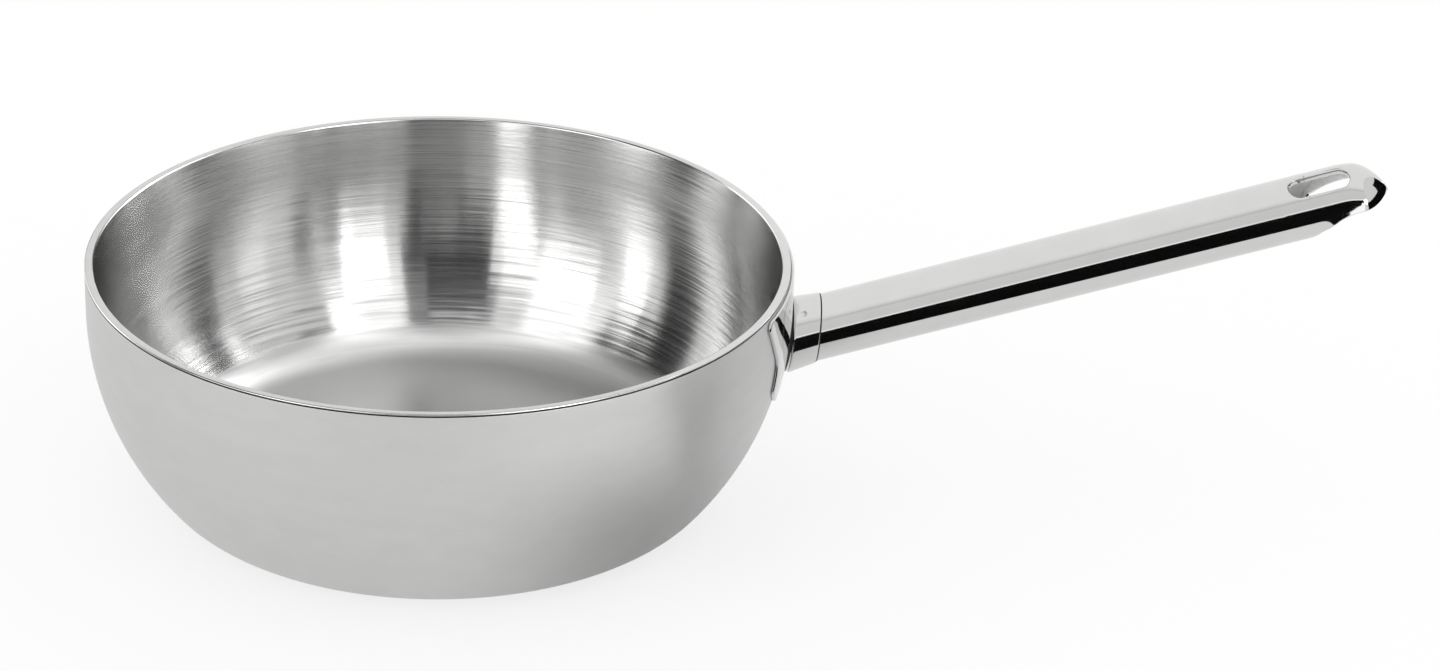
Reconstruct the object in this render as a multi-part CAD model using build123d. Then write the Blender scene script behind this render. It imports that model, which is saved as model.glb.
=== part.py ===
from build123d import *
import os
from math import asin, cos, pi, radians, sin, sqrt, tan

# A saucier pan with a round belly and a long tube handle. Lengths are in millimetres, angles in degrees.
# The origin is the middle of the underside of the base, +Z is up and the handle runs out along +X.

# Bowl
rim_diameter = 240.0        # over the outside of the wall
pan_height = 85.0           # table to rim
straight_wall = 16.0        # upright band below the rim, where a lid sits
belly_radius = 98.0         # large arc of the outside of the wall
corner_radius = 20.0        # arc from the belly to the flat base, on the outside
skin_sheet = 0.5            # outer steel
core_sheet = 2.0            # aluminium between the two steels
liner_sheet = 0.5           # inner steel, turned out over the core at the rim
rim_round = 0.3             # both corners of the rim

# Bracket, a plate bent to the wall with a short neck
plate_sheet = 1.2           # thickness of the plate
plate_drop = 1.5            # rim to the top edge of the plate
plate_top_width = 104.0     # across the two upper corners
plate_waist_width = 80.0    # across the narrow part
plate_waist_drop = 22.0     # rim to the upper end of the narrow part
plate_foot_drop = 33.0      # rim to the lower end of the narrow part
plate_tip_drop = 49.0       # rim to the lowest point of the plate
plate_corner_round = 2.5
plate_waist_round = 12.0
neck_step = 0.6             # collar down to the neck beside it

# Handle, measured along its axis from the upright wall of the pan
handle_drop = 30.5          # rim down to the axis, where it meets the upright wall
handle_rise = 15.6          # slope of the axis
handle_roll = 25.0          # turn of the tube about its own axis, towards -Y
handle_reach = 213.0        # upright wall to the tip of the nose
tube_diameter = 22.3
tube_wall = 1.3
nose_radius = 19.0          # arc of the nose
mitre_tilt = 3.5            # lean of the collar's two faces from the upright

# Tail of the tube
scoop_radius = 19.5         # round cut on the underside
scoop_back = 12.6           # middle of the cut, back from the tip
scoop_depth = 17.0          # middle of the cut, below the axis
cut_lip = 2.2               # edge of the cut, turned inwards
hang_hole_length = 22.5
hang_hole_width = 8.5
hang_hole_back = 23.5       # middle of the hole, back from the tip

# Collar
collar_clearance = 0.25     # collar's upper edge to the face of the plate
collar_length = 9.8
collar_root_sheet = 1.4     # thickness at the pan's end, before the lip is rounded
collar_tip_sheet = 0.5      # thickness at the other end
collar_edge_round = 0.7
punch_radius = 1.6          # ball that makes the dimple
punch_depth = 0.5
punch_back = 3.4            # dimple to the outer end of the collar
punch_turn = 36.0           # turn of the dimple from the top, towards -Y

# Spigot
shank_diameter = 12.0
spigot_length = 22.0        # reach inside the tube
spigot_chamfer = 1.0

# Fits
weld_gap = 0.05             # between surfaces that are welded or pressed together
overrun = 2.0               # how far a cutting shape runs past what it cuts

# Worked out from the sizes above
rim_radius = rim_diameter / 2
wall_sheet = skin_sheet + core_sheet + liner_sheet
belly_top = pan_height - straight_wall
belly_centre_x = rim_radius - belly_radius
belly_angle = asin((belly_top - corner_radius) / (belly_radius - corner_radius))
base_flat_radius = belly_centre_x + (belly_radius - corner_radius) * cos(belly_angle)
tube_radius = tube_diameter / 2
handle_height = pan_height - handle_drop
bore_radius = tube_radius - tube_wall
nose_length = sqrt(nose_radius**2 - (nose_radius - tube_radius)**2)
rise = radians(handle_rise)
roll = radians(handle_roll)
handle_axis = Vector(cos(rise), 0, sin(rise))
handle_up = Vector(-sin(rise), 0, cos(rise))
tube_up = handle_up * cos(roll) - Vector(0, sin(roll), 0)
handle_root = Vector(rim_radius, 0, handle_height)
collar_root_radius = tube_radius + weld_gap + collar_root_sheet
collar_tip_radius = tube_radius + weld_gap + collar_tip_sheet
collar_lean = collar_root_radius * tan(radians(mitre_tilt))
collar_start = (weld_gap + plate_sheet + collar_clearance - collar_lean) / cos(rise)
neck_diameter = 2 * (collar_root_radius - neck_step)
handle_plane = Plane(origin=handle_root, x_dir=handle_axis, z_dir=handle_up)
tube_plane = Plane(origin=handle_root, x_dir=handle_axis, z_dir=tube_up)


def wall_outline(depth, top):
    """The wall's section at a depth below its outer surface, from the axis up to a height."""
    foot = (base_flat_radius, depth)
    corner = corner_radius - depth
    belly = belly_radius - depth
    half = (belly_angle + pi / 2) / 2
    corner_middle = (base_flat_radius + corner * cos(half), corner_radius - corner * sin(half))
    joint = (base_flat_radius + corner * cos(belly_angle), corner_radius - corner * sin(belly_angle))
    belly_middle = (
        belly_centre_x + belly * cos(belly_angle / 2),
        belly_top - belly * sin(belly_angle / 2),
    )
    shoulder = (rim_radius - depth, belly_top)
    return [
        Line((0, depth), foot),
        ThreePointArc(foot, corner_middle, joint),
        ThreePointArc(joint, belly_middle, shoulder),
        Line(shoulder, (rim_radius - depth, top)),
    ]


def layer(outer_depth, inner_depth, top):
    """A sheet of the bowl between two depths, up to a height."""
    outer = wall_outline(outer_depth, top)
    inner = wall_outline(inner_depth, top)
    edges = outer + inner
    edges.append(Line((0, outer_depth), (0, inner_depth)))
    edges.append(Line((rim_radius - outer_depth, top), (rim_radius - inner_depth, top)))
    return revolve(Plane.XZ * make_face(edges), Axis.Z)


def filled_bowl(depth, top):
    """Everything inside the wall's surface at a depth, up to a height."""
    edges = wall_outline(depth, top)
    edges.append(Line((rim_radius - depth, top), (0, top)))
    edges.append(Line((0, top), (0, depth)))
    return revolve(Plane.XZ * make_face(edges), Axis.Z)


def make_outer_skin():
    return layer(0, skin_sheet, pan_height - liner_sheet)


def make_aluminium_core():
    return layer(skin_sheet, skin_sheet + core_sheet, pan_height - liner_sheet)


def make_inner_liner():
    """The inner sheet with its edge turned out flat over the core and the skin."""
    lining = layer(skin_sheet + core_sheet, wall_sheet, pan_height)
    band = Cylinder(rim_radius, liner_sheet, align=(Align.CENTER, Align.CENTER, Align.MAX))
    band -= Cylinder(rim_radius - wall_sheet, 2 * liner_sheet)
    liner = lining + Pos(0, 0, pan_height) * band
    corners = liner.edges().filter_by(GeomType.CIRCLE).group_by(Axis.Z)[-1]
    return fillet(corners, rim_round)


def mitre_half(along, side):
    """All space on one side of the leaning plane that cuts the handle's axis at a distance along it."""
    size = 2 * handle_reach
    block = Box(size, size, size, align=(side, Align.CENTER, Align.CENTER))
    place = handle_root + handle_axis * along
    return Pos(place.X, place.Y, place.Z) * Rot(0, mitre_tilt, 0) * block


def pan_side(along):
    return mitre_half(along, Align.MAX)


def far_side(along):
    return mitre_half(along, Align.MIN)


def handle_rod(radius, start, end):
    """A round bar about the handle's axis."""
    rod = Cylinder(radius, end - start, align=(Align.CENTER, Align.CENTER, Align.MIN))
    return handle_plane.location * Pos(start, 0, 0) * Rot(0, 90, 0) * rod


def plate_outline():
    """The shield shape of the plate, seen along the handle."""
    top = pan_height - plate_drop
    waist = pan_height - plate_waist_drop
    foot = pan_height - plate_foot_drop
    tip = pan_height - plate_tip_drop
    half_top = plate_top_width / 2
    half_waist = plate_waist_width / 2
    shape = make_face(
        [
            Line((-half_top, top), (half_top, top)),
            Line((half_top, top), (half_waist, waist)),
            Line((half_waist, waist), (half_waist, foot)),
            ThreePointArc((half_waist, foot), (0, tip), (-half_waist, foot)),
            Line((-half_waist, foot), (-half_waist, waist)),
            Line((-half_waist, waist), (-half_top, top)),
        ]
    )
    rows = shape.vertices().group_by(Axis.Y)
    shape = fillet(rows[-1], plate_corner_round)
    inner = [v for v in shape.vertices() if foot - weld_gap < v.Y < waist + weld_gap]
    return fillet(inner, plate_waist_round)


def make_handle_bracket():
    """The plate, wrapped on the wall, and its neck up to the collar."""
    inside = filled_bowl(-weld_gap, pan_height)
    wrap = filled_bowl(-weld_gap - plate_sheet, pan_height) - inside
    window = extrude(Plane.YZ * plate_outline(), rim_diameter)
    plate = wrap & window
    neck = handle_rod(neck_diameter / 2, -neck_diameter, collar_start + neck_diameter)
    neck -= far_side(collar_start)
    bracket = plate + (neck - inside)
    return bracket - handle_rod(shank_diameter / 2 + weld_gap, -neck_diameter, neck_diameter)


def make_joining_spigot():
    """A turned plug: its shank stands on the wall, its body fills the end of the tube."""
    shank = handle_rod(shank_diameter / 2, -neck_diameter, collar_start + overrun)
    shank -= filled_bowl(-weld_gap, pan_height)
    body = handle_rod(bore_radius - weld_gap, -neck_diameter, spigot_length)
    body = chamfer(body.edges().sort_by(Axis.X)[-1], spigot_chamfer)
    return shank + (body - pan_side(collar_start + weld_gap))


def make_handle_collar():
    """A tapered ring with leaning faces, rounded lips and one punched dimple."""
    end = collar_start + collar_length
    slack = collar_length
    growth = (collar_root_radius - collar_tip_radius) / collar_length
    root_radius = collar_root_radius + growth * slack
    tip_radius = collar_tip_radius - growth * slack
    middle = (Align.CENTER, Align.CENTER, Align.MIN)
    cone = Cone(root_radius, tip_radius, collar_length + 2 * slack, align=middle)
    ring = handle_plane.location * Pos(collar_start - slack, 0, 0) * Rot(0, 90, 0) * cone
    ring = ring - pan_side(collar_start) - far_side(end)
    ring = fillet(ring.edges(), collar_edge_round)
    ring -= handle_rod(tube_radius + weld_gap, -neck_diameter, handle_reach)
    turn = radians(punch_turn)
    out = handle_up * cos(turn) - Vector(0, sin(turn), 0)
    surface = collar_tip_radius + growth * punch_back
    ball = handle_root + handle_axis * (end - punch_back) + out * (surface + punch_radius - punch_depth)
    return ring - Pos(ball.X, ball.Y, ball.Z) * Sphere(punch_radius)


def bullet_edge(inset, start):
    """Half of the tube's outline with its rounded nose, inset by a wall, from the axis round to the tip."""
    radius = tube_radius - inset
    arc = nose_radius - inset
    drop = nose_radius - tube_radius
    shoulder = handle_reach - nose_length
    reach = sqrt(arc**2 - drop**2)
    turn = asin(reach / arc)
    pull = arc * 4 / 3 * tan(turn / 4)
    tip = (shoulder + reach, 0)
    before_tip = (shoulder + reach - pull * cos(turn), pull * sin(turn))
    return [
        Line((start, 0), (start, radius)),
        Line((start, radius), (shoulder, radius)),
        Bezier((shoulder, radius), (shoulder + pull, radius), before_tip, tip),
    ]


def bullet(inset, start):
    """The tube as a solid bar with its rounded nose, in the tube's own frame."""
    edge = bullet_edge(inset, start)
    axis = Line(edge[-1] @ 1, edge[0] @ 0)
    return revolve(make_face(edge + [axis]), Axis.X)


def scoop(inset):
    """The round cut under the tail, across the tube, grown by a wall."""
    bar = Cylinder(scoop_radius + inset, 2 * tube_diameter)
    return Pos(handle_reach - scoop_back, 0, -scoop_depth) * Rot(90, 0, 0) * bar


def scoop_opening():
    """What is open inside the turned-in lip of the cut."""
    start = handle_reach - scoop_back - scoop_radius + tube_wall
    near = bullet_edge(tube_wall + cut_lip, start)
    far = [mirror(line, Plane.XZ) for line in near]
    prism = extrude(make_face(near + far), tube_radius, both=True)
    return prism & scoop(tube_wall + weld_gap)


def hang_hole():
    """The long hole in the top of the tail."""
    slot = extrude(SlotOverall(hang_hole_length, hang_hole_width), tube_diameter)
    return Pos(handle_reach - hang_hole_back, 0, 0) * slot


def make_handle_tube():
    """The tube in its own frame, then turned and set on the handle's axis."""
    shell = bullet(0, 0) - scoop(0)
    void = bullet(tube_wall, -overrun) - scoop(tube_wall)
    shell = shell - void - scoop_opening() - hang_hole()
    tube = tube_plane.location * shell
    return tube - pan_side(collar_start + weld_gap)


os.makedirs("parts", exist_ok=True)
pieces = {
    "outer_skin": make_outer_skin,
    "aluminium_core": make_aluminium_core,
    "inner_liner": make_inner_liner,
    "handle_bracket": make_handle_bracket,
    "joining_spigot": make_joining_spigot,
    "handle_collar": make_handle_collar,
    "handle_tube": make_handle_tube,
}
for name, make in pieces.items():
    export_step(make(), f"parts/{name}.step")
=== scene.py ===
from math import asin, atan2, cos, hypot, pi, radians, sin, sqrt, tan

import bmesh
import bpy
from mathutils import Matrix, Vector


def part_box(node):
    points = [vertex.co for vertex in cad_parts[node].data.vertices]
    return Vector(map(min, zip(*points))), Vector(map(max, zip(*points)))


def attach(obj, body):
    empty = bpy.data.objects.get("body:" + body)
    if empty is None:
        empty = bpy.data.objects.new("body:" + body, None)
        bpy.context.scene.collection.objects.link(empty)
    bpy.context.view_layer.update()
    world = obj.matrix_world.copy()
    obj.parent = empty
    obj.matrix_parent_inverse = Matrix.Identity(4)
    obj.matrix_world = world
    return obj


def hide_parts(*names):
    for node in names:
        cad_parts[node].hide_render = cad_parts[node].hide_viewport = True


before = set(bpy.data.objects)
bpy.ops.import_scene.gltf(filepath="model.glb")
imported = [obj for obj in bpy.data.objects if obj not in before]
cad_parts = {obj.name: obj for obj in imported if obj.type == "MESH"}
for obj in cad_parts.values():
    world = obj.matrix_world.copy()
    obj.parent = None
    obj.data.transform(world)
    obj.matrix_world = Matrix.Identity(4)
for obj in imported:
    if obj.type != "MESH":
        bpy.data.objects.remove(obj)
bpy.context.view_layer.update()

# Sizes, in metres and radians: the bowl's own, which the solids are built from too, and its fine edges
skin_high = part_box("outer_skin")[1]
liner_low, liner_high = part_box("inner_liner")
RIM_RADIUS = liner_high.x
PAN_HEIGHT = liner_high.z
LINER_SHEET = PAN_HEIGHT - skin_high.z
WALL_SHEET = liner_low.z + LINER_SHEET
SKIN_SHEET = LINER_SHEET
STRAIGHT_WALL = 0.016
BELLY_RADIUS = 0.098
CORNER_RADIUS = 0.020
BELLY_TOP = PAN_HEIGHT - STRAIGHT_WALL
BELLY_CENTRE = RIM_RADIUS - BELLY_RADIUS
BELLY_ANGLE = asin((BELLY_TOP - CORNER_RADIUS) / (BELLY_RADIUS - CORNER_RADIUS))
BASE_FLAT = BELLY_CENTRE + (BELLY_RADIUS - CORNER_RADIUS) * cos(BELLY_ANGLE)
RIM_ROUND = 0.0006
RIM_FACE = 0.00002
SEAM_GAP = 0.0005
PAINTED_SHADE_CURTAIN = 0.00006
GROOVE_TOP = PAN_HEIGHT - LINER_SHEET
GROOVE_LOW = GROOVE_TOP - SEAM_GAP
LIP_ROUND = LINER_SHEET / 5
SKIN_ROUND = SKIN_SHEET / 3

# Camera, as the photograph was taken
IMAGE_WIDTH_PX = 1440
FOCAL_PX = 4388.36
SENSOR_WIDTH_MM = 36
CAMERA_DISTANCE = 1.5
CAMERA_ELEVATION = radians(25.039)
CAMERA_YAW = radians(3.6605)
CAMERA_PITCH = radians(-1.0495)
CAMERA_ROLL = radians(-0.055)
CLIP_SPAN = 100


def placed(name, data):
    """A new object in the scene, at the origin."""
    piece = bpy.data.objects.new(name, data)
    bpy.context.scene.collection.objects.link(piece)
    return piece


def make_camera():
    """Stands at a distance from the middle of the rim, then turns by yaw, pitch and roll."""
    data = bpy.data.cameras.new("camera")
    camera = placed("camera", data)
    bpy.context.scene.camera = camera
    data.sensor_width = SENSOR_WIDTH_MM
    data.lens = data.sensor_width * FOCAL_PX / IMAGE_WIDTH_PX
    data.clip_start = CAMERA_DISTANCE / CLIP_SPAN
    data.clip_end = CAMERA_DISTANCE * CLIP_SPAN
    aimed = Matrix.Rotation(pi / 2 - CAMERA_ELEVATION, 4, "X")
    place = Vector((0, 0, PAN_HEIGHT)) + aimed.col[2].xyz * CAMERA_DISTANCE
    for turn, axis in ((-CAMERA_YAW, "Y"), (CAMERA_PITCH, "X"), (-CAMERA_ROLL, "Z")):
        aimed = aimed @ Matrix.Rotation(turn, 4, axis)
    camera.matrix_world = Matrix.Translation(place) @ aimed


# Nodes
NOISE_LOW = 0.3
NOISE_HIGH = 0.7


def feed(tree, node, feeds):
    """Gives inputs of a node, by their names or places, a socket or a plain value each."""
    for key, source in feeds.items():
        if isinstance(source, bpy.types.NodeSocket):
            tree.links.new(source, node.inputs[key])
        else:
            node.inputs[key].default_value = source


def add(tree, kind, feeds=None, **settings):
    """A node with its settings and its fed inputs."""
    node = tree.nodes.new(kind)
    for name, value in settings.items():
        setattr(node, name, value)
    feed(tree, node, feeds or {})
    return node


def math_node(tree, operation, *sources):
    """A Math node fed by sockets or numbers, giving its output socket."""
    return add(tree, "ShaderNodeMath", dict(enumerate(sources)), operation=operation).outputs[0]


def vector_node(tree, operation, *sources):
    """A Vector Math node fed by sockets or triples, giving its output socket."""
    node = add(tree, "ShaderNodeVectorMath", dict(enumerate(sources)), operation=operation)
    return node.outputs["Value" if operation in ("LENGTH", "DISTANCE", "DOT_PRODUCT") else 0]


def scaled(tree, vector, factor):
    """A vector times a socket's value or a number."""
    return add(tree, "ShaderNodeVectorMath", {0: vector, "Scale": factor}, operation="SCALE").outputs[0]


def split_up(tree, vector):
    """The X, Y and Z of a vector, as named sockets."""
    return add(tree, "ShaderNodeSeparateXYZ", {0: vector}).outputs


def noise_at(tree, vector, detail):
    """A noise pattern at a vector, giving its value from 0 to 1."""
    return add(tree, "ShaderNodeTexNoise", {"Vector": vector, "Scale": 1, "Detail": detail}).outputs["Fac"]


def mapped(tree, value, source_range, result_range, **settings):
    """Maps one range of a value to another."""
    feeds = {"Value": value, "From Min": source_range[0], "From Max": source_range[1]}
    feeds.update({"To Min": result_range[0], "To Max": result_range[1]})
    return add(tree, "ShaderNodeMapRange", feeds, **settings).outputs["Result"]


def spread(tree, noise, low, high):
    """Maps a noise value, which stays near its middle, to a range."""
    return mapped(tree, noise, (NOISE_LOW, NOISE_HIGH), (low, high))


def soft_step(tree, value, low, high, first=0, last=1):
    """Goes smoothly from a first level to a last one while a value goes from low to high."""
    return mapped(tree, value, (low, high), (first, last), interpolation_type="SMOOTHSTEP")


def tinted(tree, share, first, second):
    """A colour between two, each a triple or a socket, by a value."""
    feeds = {"Factor": share}
    for key, colour in (("A", first), ("B", second)):
        feeds[key] = colour if isinstance(colour, bpy.types.NodeSocket) else (*colour, 1)
    return add(tree, "ShaderNodeMix", feeds, data_type="RGBA").outputs["Result"]


def node_group(kind, name, inputs, outputs):
    """An empty node group with named sockets, the sockets that it is given and its output node."""
    group = bpy.data.node_groups.new(name, kind)
    for side, sockets in (("INPUT", inputs), ("OUTPUT", outputs)):
        for label, value in sockets:
            group.interface.new_socket(label, in_out=side, socket_type="NodeSocket" + value)
    return group, group.nodes.new("NodeGroupInput").outputs, group.nodes.new("NodeGroupOutput")


# Outlines and meshes
SHARP_TURN = radians(40)
DOUBLES_APART = 1e-7
LEAST_EDGE = 1e-8
TURNED_COLUMNS = 384
MERGE_DISTANCE = 0.000002
EDGE_STEPS = 8
LIP_STEPS = 6
HALVINGS = 40


def share_between(value, start, end):
    """Nothing at the start, one at the end, held at both sides."""
    return min(max((value - start) / (end - start), 0), 1)


def eased(share):
    """The same share with a soft start and end."""
    return share * share * (3 - 2 * share)


def halved(low, high, too_high):
    """Narrows a range to the place where a test turns true, giving both its ends."""
    for _ in range(HALVINGS):
        middle = (low + high) / 2
        if too_high(middle):
            high = middle
        else:
            low = middle
    return low, high


def arc(centre, radius, start, end, steps):
    """Points on an arc in the section plane, angles from the outward direction."""
    cx, cz = centre
    turn = (end - start) / steps
    return [
        (cx + radius * cos(start + turn * i), cz + radius * sin(start + turn * i))
        for i in range(steps + 1)
    ]


def wall_outline(depth, top):
    """The wall's section at a depth below its outer surface, from the axis up to a height."""
    floor_steps, corner_steps, belly_steps, wall_steps = 12, 24, 56, 6
    floor = [(BASE_FLAT * i / floor_steps, depth) for i in range(floor_steps)]
    corner = arc((BASE_FLAT, CORNER_RADIUS), CORNER_RADIUS - depth, -pi / 2, -BELLY_ANGLE, corner_steps)
    belly = arc((BELLY_CENTRE, BELLY_TOP), BELLY_RADIUS - depth, -BELLY_ANGLE, 0, belly_steps)
    rise = (top - BELLY_TOP) / wall_steps
    wall = [(RIM_RADIUS - depth, BELLY_TOP + rise * (i + 1)) for i in range(wall_steps)]
    return floor + corner + belly[1:] + wall


def closed_mesh(mesh):
    """Merges doubles, points the faces outwards and keeps only true corners sharp."""
    work = bmesh.new()
    work.from_mesh(mesh)
    bmesh.ops.remove_doubles(work, verts=work.verts, dist=DOUBLES_APART)
    bmesh.ops.dissolve_degenerate(work, dist=LEAST_EDGE, edges=work.edges)
    bmesh.ops.recalc_face_normals(work, faces=work.faces)
    for face in work.faces:
        face.smooth = True
    for edge in work.edges:
        edge.smooth = edge.calc_face_angle(0) < SHARP_TURN
    work.to_mesh(mesh)
    work.free()


def new_mesh(name, points, faces):
    """A mesh from its points and faces."""
    mesh = bpy.data.meshes.new(name)
    mesh.from_pydata(points, [], faces)
    return mesh


def new_piece(name, points, faces, slots):
    """A closed mesh object at the origin that rides on the pan; slots gives each face's material."""
    mesh = new_mesh(name, points, faces)
    for face, index in zip(mesh.polygons, slots):
        face.material_index = index
    closed_mesh(mesh)
    piece = placed(name, mesh)
    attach(piece, "root")
    return piece


def ring_piece(name, rings, slot_of):
    """A closed piece of rings of points, the last joined to the first; slot_of takes ring and place."""
    around = len(rings[0])
    faces, slots = [], []
    for j in range(len(rings)):
        near, far = j * around, (j + 1) % len(rings) * around
        for i in range(around):
            k = (i + 1) % around
            faces.append((near + i, near + k, far + k, far + i))
            slots.append(slot_of(j, i))
    return new_piece(name, [point for ring in rings for point in ring], faces, slots)


def make_turning_tree():
    """Geometry Nodes that turn a section, given as points in order, about +Z into a closed sheet."""
    inputs = [("Section", "Geometry"), ("Around", "Int")]
    inputs += [("Merge Distance", "Float"), ("Material", "Material")]
    tree, given, result = node_group("GeometryNodeTree", "turned_sheet", inputs, [("Sheet", "Geometry")])
    section, around = given["Section"], given["Around"]
    stations = add(tree, "GeometryNodeAttributeDomainSize", {0: section}).outputs["Point Count"]
    columns = math_node(tree, "ADD", around, 1)
    grid = add(tree, "GeometryNodeMeshGrid", {"Vertices X": stations, "Vertices Y": columns})
    index = add(tree, "GeometryNodeInputIndex").outputs[0]
    station = math_node(tree, "FLOOR", math_node(tree, "DIVIDE", index, columns))
    turn = math_node(tree, "DIVIDE", math_node(tree, "MODULO", index, columns), around)
    turn = math_node(tree, "MULTIPLY", turn, 2 * pi)
    position = add(tree, "GeometryNodeInputPosition").outputs[0]
    feeds = {"Geometry": section, "Value": position, "Index": station}
    sampled = add(tree, "GeometryNodeSampleIndex", feeds, data_type="FLOAT_VECTOR")
    place = split_up(tree, sampled.outputs["Value"])
    out_x = math_node(tree, "MULTIPLY", place["X"], math_node(tree, "COSINE", turn))
    out_y = math_node(tree, "MULTIPLY", place["X"], math_node(tree, "SINE", turn))
    turned = add(tree, "ShaderNodeCombineXYZ", {"X": out_x, "Y": out_y, "Z": place["Z"]}).outputs[0]
    moved = add(tree, "GeometryNodeSetPosition", {"Geometry": grid.outputs["Mesh"], "Position": turned})
    feeds = {"Geometry": moved.outputs[0], "Distance": given["Merge Distance"]}
    whole = add(tree, "GeometryNodeMergeByDistance", feeds)
    real = add(tree, "GeometryNodeRealizeInstances", {0: whole.outputs[0]})
    feeds = {"Geometry": real.outputs[0], "Material": given["Material"]}
    tree.links.new(add(tree, "GeometryNodeSetMaterial", feeds).outputs[0], result.inputs[0])
    return tree


def turned_piece(name, outline, material):
    """A closed section from the axis back to the axis, turned about +Z by the tree."""
    piece = placed(name, new_mesh(name + "_section", [(r, 0, z) for r, z in outline], []))
    turning = piece.modifiers.new("turned_sheet", "NODES")
    turning.node_group = TURNING
    values = {"Around": TURNED_COLUMNS, "Merge Distance": MERGE_DISTANCE, "Material": material}
    for socket in TURNING.interface.items_tree:
        if socket.name in values:
            turning[socket.identifier] = values[socket.name]
    graph = bpy.context.evaluated_depsgraph_get()
    mesh = bpy.data.meshes.new_from_object(piece.evaluated_get(graph), depsgraph=graph)
    piece.modifiers.remove(turning)
    mesh.name = name
    mesh.materials.clear()
    mesh.materials.append(material)
    for face in mesh.polygons:
        face.material_index = 0
    piece.data = mesh
    closed_mesh(mesh)
    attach(piece, "root")
    return piece


def make_bowl_liner(material):
    """The bright inside of the bowl, turned out over the wall at the rim, with a curtain behind the seam;
    curtain and lip underside take a painted shade.
    """
    inside = wall_outline(WALL_SHEET, PAN_HEIGHT - RIM_ROUND)
    inner_middle = (RIM_RADIUS - WALL_SHEET + RIM_ROUND, PAN_HEIGHT - RIM_ROUND)
    inner_edge = arc(inner_middle, RIM_ROUND, pi, pi / 2, EDGE_STEPS)
    edge_round = LINER_SHEET - LIP_ROUND - RIM_FACE
    outer_edge = arc((RIM_RADIUS - edge_round, PAN_HEIGHT - edge_round), edge_round, pi / 2, 0, EDGE_STEPS)
    lip = arc((RIM_RADIUS - LIP_ROUND, GROOVE_TOP + LIP_ROUND), LIP_ROUND, 0, -pi / 2, LIP_STEPS)
    # A curtain closes the groove; with the lip's underside it takes a painted shade
    front, behind = (RIM_RADIUS - SKIN_SHEET + PAINTED_SHADE_CURTAIN / part for part in (1, 6))
    low = GROOVE_LOW + PAINTED_SHADE_CURTAIN / 2
    painted_shade_curtain = [(front, GROOVE_TOP), (front, low), (behind, low), (behind, GROOVE_TOP)]
    back = wall_outline(WALL_SHEET - LINER_SHEET, GROOVE_TOP)
    outline = inside + inner_edge[1:] + outer_edge + lip + painted_shade_curtain + back[::-1]
    return turned_piece("bowl_liner", outline, material)


def make_bowl_skin(material):
    """The satin outside of the bowl, with a rounded top edge under the rim's seam."""
    outside = wall_outline(0, GROOVE_LOW - SKIN_ROUND)
    edge = arc((RIM_RADIUS - SKIN_ROUND, GROOVE_LOW - SKIN_ROUND), SKIN_ROUND, 0, pi / 2, LIP_STEPS)
    inside = wall_outline(SKIN_SHEET, GROOVE_LOW)
    return turned_piece("bowl_skin", outside + edge[1:] + inside[::-1], material)


# Handle frame: along the axis, and up and across as the tube is turned
HANDLE_RISE = radians(15.6)
HANDLE_ROLL = radians(25)
HANDLE_REACH = 0.213
HANDLE_DROP = 0.0305
TUBE_RADIUS = 0.01115
TUBE_SHEET = 0.0008
MITRE_TILT = radians(3.5)
AXIS = Vector((cos(HANDLE_RISE), 0, sin(HANDLE_RISE)))
RISE_UP = Vector((-sin(HANDLE_RISE), 0, cos(HANDLE_RISE)))
NEAR_SIDE = Vector((0, -1, 0))
TUBE_UP = RISE_UP * cos(HANDLE_ROLL) + NEAR_SIDE * sin(HANDLE_ROLL)
TUBE_SIDE = AXIS.cross(TUBE_UP)
ROOT = Vector((RIM_RADIUS, 0, PAN_HEIGHT - HANDLE_DROP))
LEAN = tan(HANDLE_RISE + MITRE_TILT)

# Tail of the tube, distances back from the tip
TIP_SHORT = 0.0005
NOSE_LENGTH = 0.0175
NOSE_SPREAD = 0.011
NOSE_DROP = 0.0025
NOSE_FULL = 1.8
FLAT_TURN = radians(70)
FLAT_BEGIN = 0.0265
FLAT_FULL = 0.0205
SCOOP_RADIUS = 0.0195
SCOOP_BACK = 0.0126
SCOOP_DEPTH = 0.017
HOLE_LENGTH = 0.0225
HOLE_WIDTH = 0.0085
HOLE_BACK = 0.0235
HOLE_ROUND = 0.0008
HOLE_FLANGE = 0.0012
CUT_ROUND = 0.0005
CUT_PROUD = 0.0002
CUT_FLANGE = 0.0040
CUT_FLANGE_TIP = 0.0008
CUT_FLANGE_FULL = 0.009

# Mesh of the tube: columns round it, rows along it, and the patch that holds the hole
TUBE_COLUMNS = 144
HOLE_COLUMNS = 22
COLLAR_ROWS = 2
STRAIGHT_ROWS = 60
PATCH_ROWS = 10
CUT_ROWS = 60
CUT_QUICK_ROWS = 22
NOSE_ROWS = 40
JOIN_BACK = 0.016
PATCH_MARGIN = 0.003
TIP_GAP = 0.00002
HOLE_RINGS = 10
HOLE_RING_EASE = 1.5
ROLL_STEPS = 8
FLANGE_STEPS = 2
ALONG_STEP = 1e-6
TURN_STEP = 1e-3
TINY = 1e-9
SAME_PLACE = 1e-12


def tip_share(back):
    """One at the tip, falling to nothing where the nose begins."""
    return share_between(back, NOSE_LENGTH, 0)


def tube_section(back):
    """Middle, half height and half width of the tube at a distance back from the tip."""
    grown = (1 - tip_share(back) ** NOSE_FULL) ** (1 / NOSE_FULL)
    narrowed = 1 - share_between(back, NOSE_SPREAD, 0) ** 2
    return -NOSE_DROP * (1 - grown), TUBE_RADIUS * grown, TUBE_RADIUS * narrowed


def around_tube(back, turn):
    """Up and side shares of a place round the tube, whose walls run straight down beside the cut."""
    up, side = cos(turn), sin(turn)
    past = abs(turn) - FLAT_TURN
    share = eased(share_between(back, FLAT_BEGIN, FLAT_FULL))
    if past > 0 and share > 0:
        flat_up = cos(FLAT_TURN) - sin(FLAT_TURN) * past
        flat_side = (sin(FLAT_TURN) + cos(FLAT_TURN) * past) * (1 if turn > 0 else -1)
        up, side = up + (flat_up - up) * share, side + (flat_side - side) * share
    return up, side


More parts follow.
